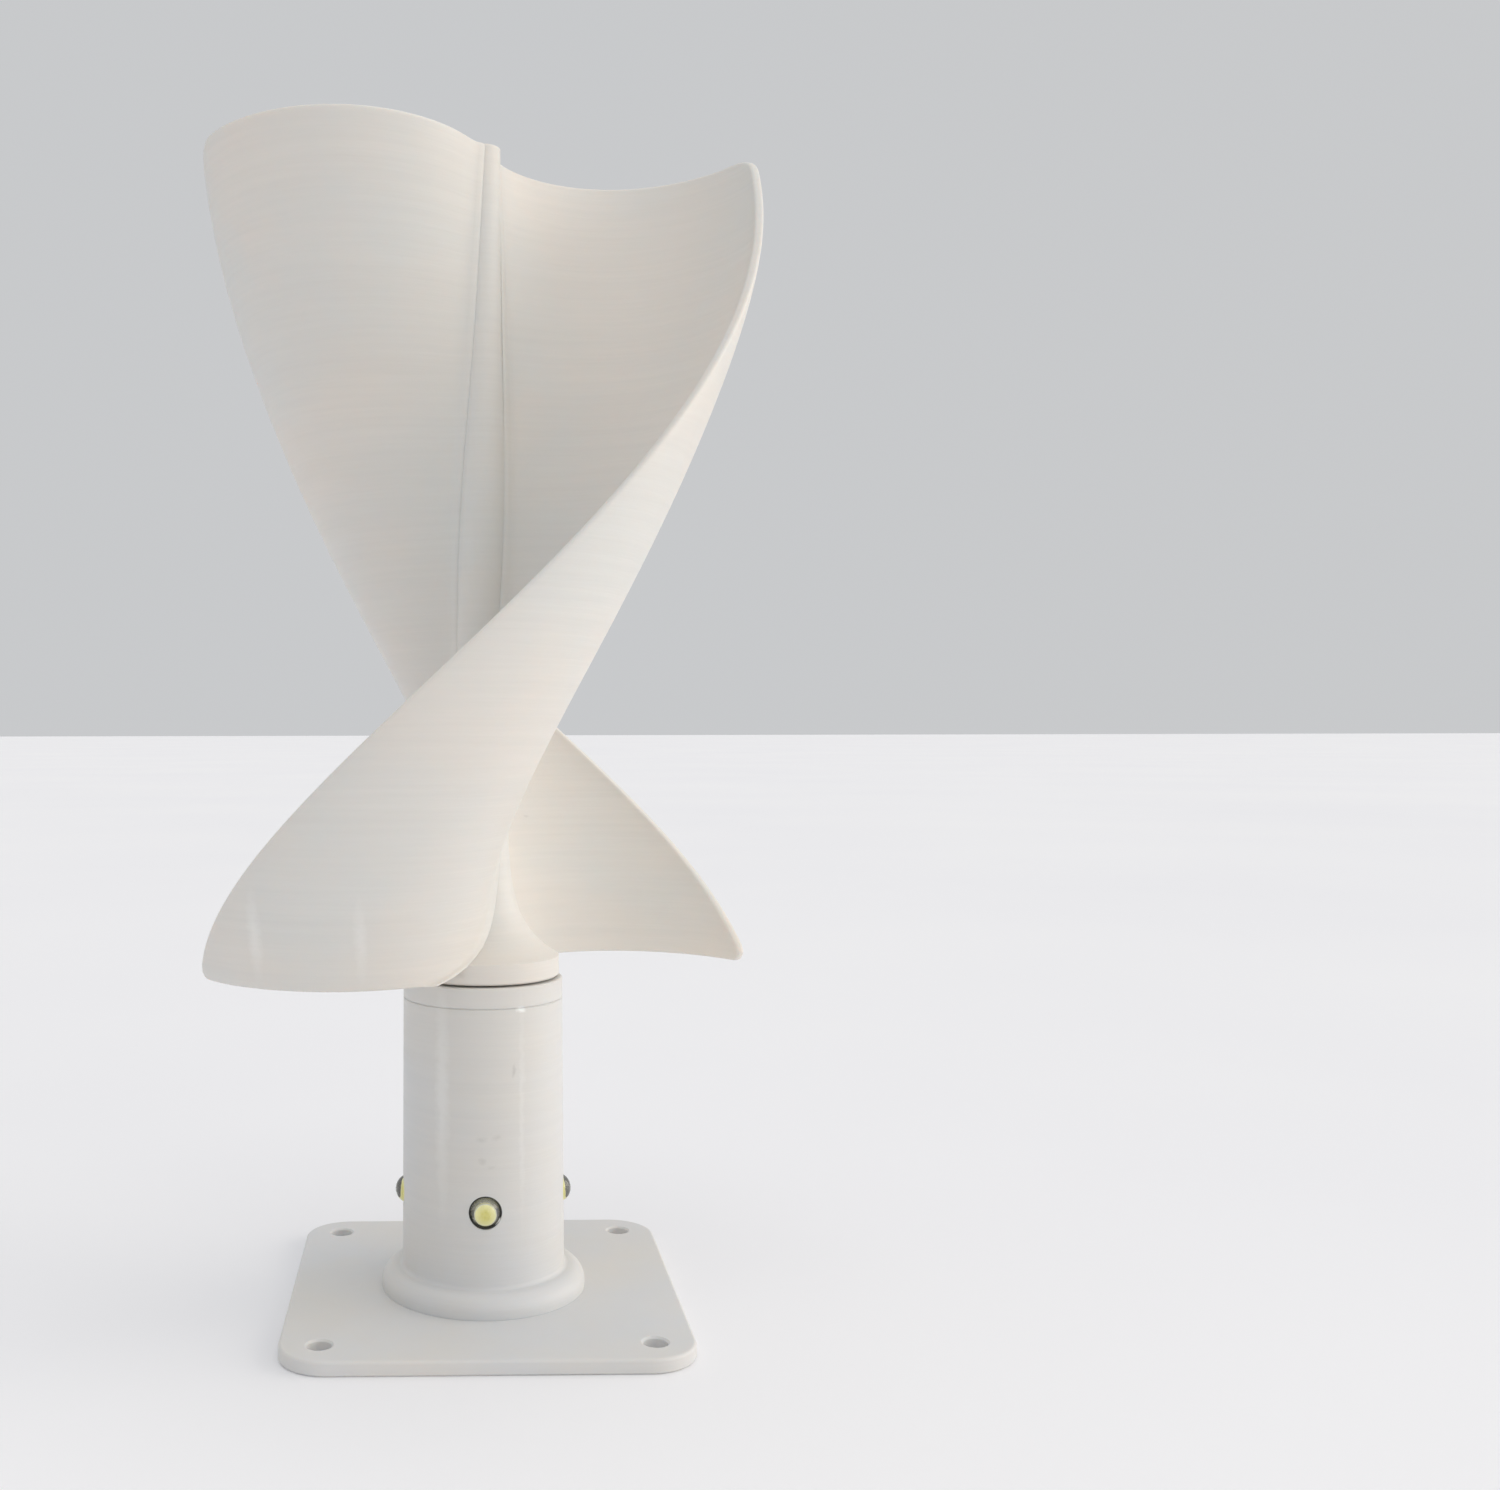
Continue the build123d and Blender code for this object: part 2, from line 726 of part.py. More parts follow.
leds = {name: make_led(angle) for name, angle in led_angles.items()}

with BuildPart() as led_bezels:
    for angle in led_angles.values():
        with BuildSketch(facing_plane(angle, led_height, bezel_back_reach)):
            Circle(bezel_radius)
            Circle(bezel_radius - bezel_wall, mode=Mode.SUBTRACT)
        extrude(amount=tube_top_radius - bezel_back_reach)
    with Locations((0, 0, led_height)):
        Cylinder(tube_top_radius - bezel_recess, 4 * bezel_radius, mode=Mode.INTERSECT)


# ---------------------------------------------------------------- one STEP file for each piece

pieces = {
    "base_plate": base_plate,
    "tower_tube": tower_tube,
    "tower_screws": tower_screws,
    "tower_cap": tower_cap,
    "generator_screws": generator_screws,
    "generator_case": generator_case,
    "generator_end_plate": generator_end_plate,
    "stator_core": stator_core,
    "stator_windings": stator_windings,
    "bearing_lower": bearing_lower,
    "bearing_upper": bearing_upper,
    "rectifier_board": rectifier_board,
    "board_screws": board_screws,
    "rectifier_diodes": rectifier_diodes,
    "smoothing_capacitor": smoothing_capacitor,
    "phase_wires": phase_wires,
    "led_legs": led_legs,
    "led_phosphors": led_phosphors,
    "led_bezels": led_bezels,
    **leds,
    "rotor_hub": rotor_hub,
    "blade_a": blade_a,
    "blade_b": blade_b,
    "hub_sleeve": hub_sleeve,
    "rotor_shaft": rotor_shaft,
    "thrust_washer": thrust_washer,
    "magnet_carrier": magnet_carrier,
    "ring_magnet": ring_magnet,
}
for name, piece in pieces.items():
    piece.part.label = name
    export_step(piece.part, f"parts/{name}.step")
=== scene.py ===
import json
from math import cos, exp, hypot, pi, radians, sin, sqrt, tau

import bmesh
import bpy
import numpy as np
from mathutils import Matrix, Vector


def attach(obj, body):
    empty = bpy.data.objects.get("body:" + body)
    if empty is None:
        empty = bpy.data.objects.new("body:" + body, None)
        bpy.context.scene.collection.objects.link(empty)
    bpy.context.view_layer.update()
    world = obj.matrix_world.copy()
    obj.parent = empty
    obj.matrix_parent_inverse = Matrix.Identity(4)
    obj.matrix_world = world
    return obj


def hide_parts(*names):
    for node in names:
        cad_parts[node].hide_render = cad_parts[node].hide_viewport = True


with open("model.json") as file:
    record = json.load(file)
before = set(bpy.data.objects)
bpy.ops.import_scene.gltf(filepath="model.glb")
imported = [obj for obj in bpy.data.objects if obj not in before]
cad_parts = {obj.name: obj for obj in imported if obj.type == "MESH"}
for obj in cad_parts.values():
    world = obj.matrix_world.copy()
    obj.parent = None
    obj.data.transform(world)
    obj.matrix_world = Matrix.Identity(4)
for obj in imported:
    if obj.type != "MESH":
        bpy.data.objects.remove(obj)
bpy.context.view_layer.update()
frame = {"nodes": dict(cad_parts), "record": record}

# A small vertical-axis wind turbine in a plain studio. The CAD nodes give the tower, the hub and the
# inner parts. The two blades, the four lenses and the phosphor discs are finer meshes that stand for
# their CAD nodes. Blender works in metres. Lengths are in millimetres here, and are multiplied by MM
# on their way into Blender, unless a comment says metres.

nodes = frame["nodes"]
scene = bpy.context.scene
MM = 0.001

# The phosphor's material needs these before the lamps are built
lamp_height = 19.0
phosphor_drop = 0.35


# ---------------------------------------------------------------- camera

camera_distance = 267.4 * MM
camera_side = -2.4 * MM
camera_height = 100.6 * MM
camera_azimuth = radians(-0.9)
camera_roll = radians(-0.12)
sensor_width = 36
lens = 36.34
shift_right = 0.1875
shift_down = -0.013
nearest_seen, farthest_seen = 0.01, 50  # metres


def link(name, data):
    """Puts a new object with this data in the scene."""
    made = bpy.data.objects.new(name, data)
    scene.collection.objects.link(made)
    return made


camera_data = bpy.data.cameras.new("camera")
camera = link("camera", camera_data)
scene.camera = camera
camera_data.sensor_width = sensor_width
camera_data.lens = lens
camera_data.shift_x = shift_right
camera_data.shift_y = shift_down
camera_data.clip_start = nearest_seen
camera_data.clip_end = farthest_seen
standpoint = Matrix.Translation((camera_side, -camera_distance, camera_height))
level = Matrix.Rotation(radians(90), 4, "X")
rolled = Matrix.Rotation(camera_roll, 4, "Z")
camera.matrix_world = Matrix.Rotation(camera_azimuth, 4, "Z") @ standpoint @ level @ rolled


# ---------------------------------------------------------------- node helpers

mark_push = 1.4
mark_raggedness = 700


def node(tree, kind, inputs=None, **settings):
    """Adds one shader node. Its inputs are values or other nodes' sockets."""
    made = tree.nodes.new(kind)
    for key, value in settings.items():
        setattr(made, key, value)
    for key, value in (inputs or {}).items():
        if isinstance(value, bpy.types.NodeSocket):
            tree.links.new(value, made.inputs[key])
        else:
            made.inputs[key].default_value = value
    return made


def calc(tree, operation, *values):
    """One Math node's result."""
    return node(tree, "ShaderNodeMath", dict(enumerate(values)), operation=operation).outputs[0]


def vector_calc(tree, operation, *values):
    """One Vector Math node, with its vector in output 0 and its length in output "Value"."""
    return node(tree, "ShaderNodeVectorMath", dict(enumerate(values)), operation=operation).outputs


def blend(tree, share, first, second):
    """A colour between two colours or sockets."""
    made = node(tree, "ShaderNodeMix", {0: share}, data_type="RGBA")
    # A Mix node takes its two colours in inputs 6 and 7, and gives the mixed one in output 2
    for index, value in ((6, first), (7, second)):
        if isinstance(value, bpy.types.NodeSocket):
            tree.links.new(value, made.inputs[index])
        else:
            made.inputs[index].default_value = (*value, 1)
    return made.outputs[2]


def remap(tree, value, low, high, to_low, to_high):
    """Maps a value from one range to another, clamped."""
    inputs = {0: value, 1: low, 2: high, 3: to_low, 4: to_high}
    return node(tree, "ShaderNodeMapRange", inputs, clamp=True).outputs[0]


def object_position(tree):
    """Object coordinates in metres."""
    return node(tree, "ShaderNodeTexCoord").outputs["Object"]


def place(tree, scale):
    """Object coordinates in metres, scaled."""
    return node(tree, "ShaderNodeMapping", {"Vector": object_position(tree), "Scale": scale}).outputs[0]


def noise(tree, scale, detail=3.0, stretch=(1, 1, 1)):
    """Noise over the object, from 0 to 1."""
    inputs = {"Vector": place(tree, stretch), "Scale": scale, "Detail": detail, "Roughness": 0.55}
    return node(tree, "ShaderNodeTexNoise", inputs).outputs["Fac"]


def bump(tree, height, depth, normal=None):
    """A bump of a real depth in metres."""
    inputs = {"Height": height, "Distance": depth, "Strength": 1.0}
    if normal is not None:
        inputs["Normal"] = normal
    return node(tree, "ShaderNodeBump", inputs).outputs[0]


def new_material(name, **shader_values):
    """A material with its Principled shader set from plain values."""
    material = bpy.data.materials.new(name)
    material.use_nodes = True
    shader = material.node_tree.nodes["Principled BSDF"]
    for key, value in shader_values.items():
        shader.inputs[key.replace("_", " ")].default_value = value
    return material, material.node_tree, shader


def ragged_position(tree):
    """Object coordinates pushed by 0 to mark_push along each axis, for marks with uneven edges."""
    position = object_position(tree)
    inputs = {"Vector": position, "Scale": mark_raggedness, "Detail": 3.0}
    push = node(tree, "ShaderNodeTexNoise", inputs).outputs["Color"]
    return vector_calc(tree, "MULTIPLY_ADD", push, [mark_push * MM] * 3, position)[0]


def spot(tree, position, centre, radii):
    """A soft mark: 1 at its centre and 0 outside its radii. It allows for the middle of the push."""
    middle = [(c + mark_push / 2) * MM for c in centre]
    away = vector_calc(tree, "SUBTRACT", position, middle)[0]
    scaled = vector_calc(tree, "MULTIPLY", away, [1 / (r * MM) for r in radii])[0]
    distance = vector_calc(tree, "LENGTH", scaled)["Value"]
    return remap(tree, distance, 0.2, 1.0, 1.0, 0.0)


def marked(tree, colour, marks):
    """Lays marks over a colour, on the surfaces that face the front, which is -Y. Some marks are
    painted reflections, highlights and shadow.
    """
    if marks:
        position = ragged_position(tree)
        normal = node(tree, "ShaderNodeTexCoord").outputs["Normal"]
        forward = node(tree, "ShaderNodeSeparateXYZ", {0: normal}).outputs[1]
        in_front = remap(tree, forward, -0.25, 0.0, 1.0, 0.0)
    for centre, radii, strength, tone in marks:
        share = calc(tree, "MULTIPLY", spot(tree, position, centre, radii), strength)
        share = calc(tree, "MULTIPLY", share, in_front)
        colour = blend(tree, share, colour, tone)
    return colour


# ---------------------------------------------------------------- materials

broad_layer_depth = 0.05
fine_layer_depth = 0.018
plastic_grain_depth = 0.012
moulded_grain_depth = 0.01
wire_pitch = 0.22
wire_relief = 0.06
track_relief = 0.03
phosphor_relief = 0.02
epoxy_relief = 0.004


def printed_plastic(name, warm, cool, layers=1.0, marks=()):
    """White plastic laid down in thin level layers, with faint blotches, streaks and marks. Some marks
    are painted reflections and painted shadow.
    """
    material, tree, shader = new_material(name, IOR=1.46, Subsurface_Weight=0.3)
    shader.inputs["Subsurface Radius"].default_value = (1.2, 0.9, 0.7)
    shader.inputs["Subsurface Scale"].default_value = 1.0 * MM
    blotch = remap(tree, noise(tree, 26, 3.0), 0.38, 0.62, 0, 1)
    colour = blend(tree, blotch, warm, cool)
    # Layers that differ a little in tone, seen as level streaks, broad and fine
    broad = noise(tree, 1.0, 2.0, (22, 22, 900))
    broad_share = remap(tree, broad, 0.3, 0.7, 0.0, 0.10 * layers)
    colour = blend(tree, broad_share, colour, tuple(c * 0.72 for c in cool))
    fine = noise(tree, 1.0, 3.0, (160, 160, 2600))
    fine_share = remap(tree, fine, 0.35, 0.75, 0.0, 0.05 * layers)
    colour = blend(tree, fine_share, colour, tuple(c * 0.75 for c in warm))
    tree.links.new(marked(tree, colour, marks), shader.inputs["Base Color"])
    gloss = remap(tree, noise(tree, 90, 4.0, (1, 1, 3)), 0.3, 0.7, 0.40, 0.58)
    tree.links.new(gloss, shader.inputs["Roughness"])
    surface = bump(tree, broad, broad_layer_depth * MM * layers)
    surface = bump(tree, fine, fine_layer_depth * MM * layers, surface)
    surface = bump(tree, noise(tree, 700, 3.0), plastic_grain_depth * MM, surface)
    tree.links.new(surface, shader.inputs["Normal"])
    return material


def metal(name, colour, dark, roughness, stretch, grain_depth):
    """Bare metal with a drawn or turned grain."""
    material, tree, shader = new_material(name, Metallic=1.0)
    grain = noise(tree, 1.0, 4.0, stretch)
    tone = blend(tree, remap(tree, grain, 0.3, 0.7, 0, 1), dark, colour)
    tree.links.new(tone, shader.inputs["Base Color"])
    rough = remap(tree, grain, 0.3, 0.7, roughness - 0.08, roughness + 0.1)
    tree.links.new(rough, shader.inputs["Roughness"])
    tree.links.new(bump(tree, grain, grain_depth * MM), shader.inputs["Normal"])
    return material


def moulded(name, colour, second, roughness, marks=()):
    """Moulded plastic or rubber with a fine grain, and marks, such as a painted highlight."""
    material, tree, shader = new_material(name)
    cloud = noise(tree, 120, 3.0)
    tone = blend(tree, remap(tree, cloud, 0.35, 0.65, 0, 1), colour, second)
    tree.links.new(marked(tree, tone, marks), shader.inputs["Base Color"])
    rough = remap(tree, cloud, 0.3, 0.7, roughness - 0.06, roughness + 0.06)
    tree.links.new(rough, shader.inputs["Roughness"])
    tree.links.new(bump(tree, noise(tree, 600, 3.0), moulded_grain_depth * MM), shader.inputs["Normal"])
    return material


def wound_copper(name):
    """Coils of enamelled wire: turns lie side by side round each pole."""
    material, tree, shader = new_material(name, Metallic=0.85, Coat_Weight=0.6, Coat_Roughness=0.15)
    radial = vector_calc(tree, "MULTIPLY", object_position(tree), (1, 1, 0))[0]
    reach = vector_calc(tree, "LENGTH", radial)["Value"]
    turns = calc(tree, "SINE", calc(tree, "MULTIPLY", reach, tau / (wire_pitch * MM)))
    tone = remap(tree, turns, -1, 1, 0, 1)
    copper = blend(tree, tone, (0.28, 0.08, 0.03), (0.82, 0.36, 0.14))
    tree.links.new(copper, shader.inputs["Base Color"])
    tree.links.new(remap(tree, noise(tree, 400), 0.3, 0.7, 0.22, 0.4), shader.inputs["Roughness"])
    tree.links.new(bump(tree, tone, wire_relief * MM), shader.inputs["Normal"])
    return material


def laminate(name):
    """Green solder mask over copper tracks."""
    material, tree, shader = new_material(name, Coat_Weight=0.5, Coat_Roughness=0.2)
    tracks = node(tree, "ShaderNodeTexBrick", {
        "Vector": place(tree, (1, 1, 0)), "Scale": 300, "Mortar Size": 0.03, "Color1": (0, 0, 0, 1),
        "Color2": (0.25, 0.25, 0.25, 1), "Mortar": (1, 1, 1, 1)})
    value = node(tree, "ShaderNodeRGBToBW", {0: tracks.outputs["Color"]}).outputs[0]
    green = blend(tree, value, (0.02, 0.16, 0.06), (0.07, 0.33, 0.13))
    tree.links.new(green, shader.inputs["Base Color"])
    tree.links.new(remap(tree, noise(tree, 300), 0.3, 0.7, 0.3, 0.45), shader.inputs["Roughness"])
    tree.links.new(bump(tree, value, track_relief * MM), shader.inputs["Normal"])
    return material


def clear_epoxy(name):
    """Water-clear moulded epoxy with a trace of haze on its skin."""
    material, tree, shader = new_material(name, Transmission_Weight=0.88, IOR=1.5)
    shader.inputs["Base Color"].default_value = (0.95, 0.95, 0.93, 1)
    haze = remap(tree, noise(tree, 900, 3.0), 0.35, 0.65, 0.0, 0.05)
    tree.links.new(haze, shader.inputs["Roughness"])
    tree.links.new(bump(tree, noise(tree, 260, 2.0), epoxy_relief * MM), shader.inputs["Normal"])
    return material


def phosphor(name):
    """Yellow phosphor in silicone, deeper yellow at the middle of each disc, with a faint painted glow
    in place of the light that the clear lens keeps off it.
    """
    material, tree, shader = new_material(name, Roughness=0.55)
    level = (0, 0, (lamp_height - phosphor_drop) * MM)
    away = vector_calc(tree, "SUBTRACT", object_position(tree), level)[0]
    x, y, z = node(tree, "ShaderNodeSeparateXYZ", {0: away}).outputs
    # Each lamp points along X or Y, so the smaller of the two is the distance sideways from its axis
    sideways = calc(tree, "MINIMUM", calc(tree, "ABSOLUTE", x), calc(tree, "ABSOLUTE", y))
    squares = calc(tree, "ADD", calc(tree, "POWER", sideways, 2.0), calc(tree, "POWER", z, 2.0))
    reach = calc(tree, "SQRT", squares)
    edge = remap(tree, reach, 0.45 * MM, 1.35 * MM, 0, 1)
    grain = remap(tree, noise(tree, 2500, 3.0), 0.3, 0.7, 0, 0.35)
    colour = blend(tree, edge, (0.62, 0.56, 0.07), (0.90, 0.87, 0.42))
    colour = blend(tree, grain, colour, (0.90, 0.86, 0.34))
    skirt = remap(tree, reach, 1.38 * MM, 1.5 * MM, 0, 1)
    colour = blend(tree, skirt, colour, (0.86, 0.86, 0.76))
    tree.links.new(colour, shader.inputs["Base Color"])
    # Painted glow: the disc gives off light of its own, standing in for the light that cannot reach it
    # through the lens
    tree.links.new(colour, shader.inputs["Emission Color"])
    tree.links.new(bump(tree, grain, phosphor_relief * MM), shader.inputs["Normal"])
    shader.inputs["Emission Strength"].default_value = 0.30
    return material


# The two tones of each white plastic, warm and cool
body_white = ((0.725, 0.705, 0.67), (0.695, 0.70, 0.705))
rotor_white = ((0.775, 0.735, 0.68), (0.735, 0.73, 0.70))
grey_mark_and_shade = (0.42, 0.40, 0.37)
white_mark_and_highlight = (0.95, 0.95, 0.93)
# Each mark has a centre, radii, a strength and a tone
tower_marks = (
    ((4.9, -13.1, 42.5), (0.45, 1.4, 1.3), 0.35, grey_mark_and_shade),
    ((-0.6, -13.9, 31.3), (1.2, 1.4, 0.7), 0.22, grey_mark_and_shade),
    ((1.9, -13.9, 31.5), (1.0, 1.4, 0.5), 0.20, grey_mark_and_shade),
    ((-0.4, -13.9, 27.5), (0.8, 1.4, 0.8), 0.26, grey_mark_and_shade),
    ((1.2, -13.9, 26.6), (0.9, 1.4, 0.5), 0.16, grey_mark_and_shade),
    ((-7.2, -12.0, 38.0), (1.5, 2.5, 24.0), 0.28, white_mark_and_highlight),
    ((6.2, -12.5, 36.0), (0.6, 2.0, 24.0), 0.16, white_mark_and_highlight),
    ((6.2, -12.5, 52.7), (1.2, 1.6, 0.7), 0.9, white_mark_and_highlight),
)
blade_marks_and_painted_light = (
    ((9.5, 36.0, 82.5), (0.9, 3.0, 0.5), 0.45, grey_mark_and_shade),
    # Painted reflections: two whitish vertical streaks low on the front of blade A
    ((-37.0, -27.0, 66.0), (1.4, 9.0, 11.0), 0.30, white_mark_and_highlight),
    ((-20.0, -28.0, 67.0), (1.2, 9.0, 11.0), 0.22, white_mark_and_highlight),
    # Painted shadow: a grey spot low on the hub rim, where the lower corner of blade A meets it
    ((-4.0, -11.8, 58.6), (1.3, 2.0, 0.8), 0.35, grey_mark_and_shade),
)
# Painted highlight: a white spot low on the right of the front lamp's black ring
bezel_painted_highlight = (((2.1, -13.9, 17.6), (0.75, 1.2, 0.75), 1.0, white_mark_and_highlight),)
materials = {
    "body_plastic": printed_plastic("body_plastic", *body_white, 0.8, tower_marks),
    "rotor_plastic": printed_plastic("rotor_plastic", *rotor_white, 1.0, blade_marks_and_painted_light),
    "screw_steel": metal("screw_steel", (0.72, 0.72, 0.70), (0.52, 0.52, 0.52), 0.32,
                         (900, 900, 900), 0.01),
    "case_steel": metal("case_steel", (0.70, 0.70, 0.69), (0.56, 0.56, 0.56), 0.30,
                        (60, 60, 2400), 0.01),
    "lamination_steel": metal("lamination_steel", (0.42, 0.42, 0.43), (0.24, 0.24, 0.25), 0.5,
                              (30, 30, 5000), 0.05),
    "enamelled_copper": wound_copper("enamelled_copper"),
    "bronze": metal("bronze", (0.62, 0.43, 0.22), (0.44, 0.29, 0.13), 0.45,
                    (2500, 2500, 2500), 0.02),
    "board_laminate": laminate("board_laminate"),
    "component_black": moulded("component_black", (0.03, 0.03, 0.032), (0.05, 0.05, 0.052), 0.5),
    "capacitor_sleeve": moulded("capacitor_sleeve", (0.03, 0.05, 0.16), (0.05, 0.08, 0.22), 0.3),
    "wire_insulation": moulded("wire_insulation", (0.75, 0.60, 0.07), (0.82, 0.68, 0.11), 0.42),
    "tinned_wire": metal("tinned_wire", (0.82, 0.82, 0.80), (0.68, 0.68, 0.67), 0.24,
                         (700, 700, 700), 0.01),
    "phosphor_yellow": phosphor("phosphor_yellow"),
    # The lamp holders are near black. Their black is partly the holders' own and partly stands in for
    # the shade in the gap round each lens.
    "bezel_black": moulded("bezel_black", (0.012, 0.012, 0.013), (0.025, 0.024, 0.023), 0.38,
                           marks=bezel_painted_highlight),
    "clear_epoxy": clear_epoxy("clear_epoxy"),
    "brass_insert": metal("brass_insert", (0.83, 0.64, 0.30), (0.66, 0.48, 0.20), 0.3,
                          (40, 40, 2600), 0.01),
    "shaft_steel": metal("shaft_steel", (0.76, 0.76, 0.76), (0.62, 0.62, 0.62), 0.2,
                         (40, 40, 3000), 0.005),
    "washer_nylon": moulded("washer_nylon", (0.84, 0.83, 0.78), (0.88, 0.87, 0.83), 0.4),
    "magnet_ferrite": metal("magnet_ferrite", (0.17, 0.17, 0.18), (0.10, 0.10, 0.11), 0.42,
                            (1500, 1500, 1500), 0.02),
}
for part in frame["record"]["subparts"]:
    mesh = nodes[part["node"]].data
    mesh.materials.clear()
    mesh.materials.append(materials[part["material_slot"]])


# ---------------------------------------------------------------- blades

# The sizes down to hub_taper_end are the CAD model's, so that the finer blades fit their nodes
rotor_radius = 49.0
rotor_top = 202.1
rotor_rest_turn = 1.8
blade_bottom = 57.5
blade_depth = 19.6
blade_thickness = 1.5
blade_power = 2 / 3
blade_twist = 174.9
twist_bow = 12.4
twist_skew = 1.8
top_corner_radius = 13.0
bottom_corner_radius = 1.3
root_flare = 1.3
root_flare_length = 1.2
root_sunk = 0.8
edge_round = 0.5
hub_rim_radius = 13.4
hub_rim_top = 60.3
hub_core_radius = 4.4
hub_tip_radius = 3.4
hub_flare_length = 5.3
hub_taper_start = 130.0
hub_taper_end = 182.0
level_rows = 110
corner_rows = 40
least_row_gap = 0.015
edge_steps = (0, 0.02, 0.09, 0.2, 0.34, 0.5)
chord_steps = 64
arc_samples = 400
halvings = 40
# Rows and columns that may lie near enough to the rim to be rounded
rim_rows = corner_rows + 12
rim_columns = 14


def hub_radius(height):
    """The hub's outside, as the CAD model has it."""
    flare = (hub_rim_radius - hub_core_radius) * exp((hub_rim_top - height) / hub_flare_length)
    taper = min(max((height - hub_taper_start) / (hub_taper_end - hub_taper_start), 0), 1)
    return hub_core_radius + flare - (hub_core_radius - hub_tip_radius) * (1 - cos(pi * taper)) / 2


def blade_angle(height):
    """The direction of a blade's chord, in degrees."""
    rise = (height - blade_bottom) / (rotor_top - blade_bottom)
    bow = 4 * rise * (1 - rise)
    skew = 2 * bow * (1 - 2 * rise)
    return -blade_twist * (1 - rise) + twist_bow * bow + twist_skew * skew


def blade_outside(share):
    """A point on the blade's outer face, along the chord and across it."""
    return rotor_radius * share, blade_depth * max(4 * share * (1 - share), 0) ** blade_power


class Corner:
    """A rounded free corner, in the upright plane that faces outward at the corner."""

    def __init__(self, height, up, radius):
        step = 0.01
        turned = blade_angle(height + step / 2) - blade_angle(height - step / 2)
        lean = rotor_radius * radians(turned) / step
        along = Vector((-up * lean, -up)).normalized()
        level_side = Vector((1, 0))
        half = level_side.angle(along) / 2
        self.height = height
        self.up = up
        self.radius = radius
        self.centre = (level_side + along).normalized() * (radius / sin(half))
        self.end = along.y * radius * cos(half) / sin(half)

    def heights(self):
        """Heights spaced evenly round the arc, from the corner's level towards the blade's middle."""
        first = pi / 2
        last = np.arccos(np.clip((self.centre.y - self.end) * self.up / self.radius, -1, 1)) - pi / 2
        angles = [first + (-last - first) * i / corner_rows for i in range(corner_rows + 1)]
        return [self.height + self.centre.y + self.up * self.radius * sin(a) for a in angles]

    def inset(self, height):
        """How far the arc lies inside the free edge at this height, or None past the arc's end."""
        y = height - self.height
        if (y - self.end) * self.up < 0:
            return None
        return self.centre.x - sqrt(max(self.radius ** 2 - (y - self.centre.y) ** 2, 0))


corners = (Corner(rotor_top, 1, top_corner_radius), Corner(blade_bottom, -1, bottom_corner_radius))


def last_share(height):
    """The share of the chord at which the blade ends at this height."""
    for corner in corners:
        inset = corner.inset(height)
        if inset is None:
            continue
        turned = radians(blade_angle(height) - blade_angle(corner.height))
        low, high = 0.5, 1.0
        for _ in range(halvings):
            middle = (low + high) / 2
            x, y = blade_outside(middle)
            if x * sin(turned) + y * cos(turned) > inset:
                low = middle
            else:
                high = middle
        return low
    return 1.0


def first_share(height):
    """The share of the chord at which the blade starts, a little inside the hub."""
    low, high = 0.0, 0.3
    for _ in range(halvings):
        middle = (low + high) / 2
        if hypot(*blade_outside(middle)) < hub_radius(height) - root_sunk:
            low = middle
        else:
            high = middle
    return low


def row_heights():
    """Heights of the mesh's rows: close together at the rounded rims and corners."""
    heights = set()
    for corner in corners:
        heights.update(round(h, 4) for h in corner.heights())
        heights.update(round(corner.height - corner.up * step, 4) for step in edge_steps)
    span = rotor_top - blade_bottom
    heights.update(round(blade_bottom + span * i / level_rows, 4) for i in range(1, level_rows))
    kept = []
    for height in sorted(h for h in heights if blade_bottom <= h <= rotor_top):
        if not kept or height - kept[-1] > least_row_gap:
            kept.append(height)
    kept[-1] = rotor_top
    return kept


def chord_shares(height):
    """Shares along the chord for one row, close together at both ends."""
    first, last = first_share(height), last_share(height)
    spread = [first + (last - first) * (1 - cos(pi * i / chord_steps)) / 2
              for i in range(chord_steps + 1)]
    # The columns nearest the free edge follow its rounding
    fine = np.linspace(last, (first + last) / 2, arc_samples)
    points = np.array([blade_outside(s) for s in fine])
    lengths = np.concatenate([[0], np.cumsum(np.hypot(*np.diff(points, axis=0).T))])
    rim = [float(np.interp(step, lengths, fine)) for step in reversed(edge_steps)]
    inner = [s for s in spread if s < rim[0]]
    # Every row gets the same number of columns
    wanted = np.linspace(0, 1, chord_steps - len(edge_steps))
    return [float(v) for v in np.interp(wanted, np.linspace(0, 1, len(inner)), inner)] + rim


def distance_to_path(point, path):
    """The distance from a point to a line of straight pieces."""
    starts = path[:-1]
    steps = np.diff(path, axis=0)
    lengths = np.maximum((steps ** 2).sum(1), 1e-12)
    along = np.clip(((point - starts) * steps).sum(1) / lengths, 0, 1)
    return sqrt(((starts + steps * along[:, None] - point) ** 2).sum(1).min())


def blade_row(height, turn):
    """One level row of a blade: points midway through it, the way across it, and half its thickness."""
    angle = radians(blade_angle(height) + turn)
    nudge = 1e-5
    middles, sideways, halves = [], [], []
    for share in chord_shares(height):
        x, y = blade_outside(share)
        x0, y0 = blade_outside(share - nudge)
        x1, y1 = blade_outside(min(share + nudge, 1))
        run = hypot(x1 - x0, y1 - y0)
        side = ((y0 - y1) / run, (x1 - x0) / run)
        beyond_hub = hypot(x, y) - hub_radius(height)
        flare = root_flare * min(exp(-beyond_hub / root_flare_length), 1)
        x -= side[0] * blade_thickness / 2
        y -= side[1] * blade_thickness / 2
        middles.append((x * cos(angle) - y * sin(angle), x * sin(angle) + y * cos(angle), height))
        sideways.append((side[0] * cos(angle) - side[1] * sin(angle),
                         side[0] * sin(angle) + side[1] * cos(angle), 0))
        halves.append(blade_thickness / 2 + flare)
    return middles, sideways, halves


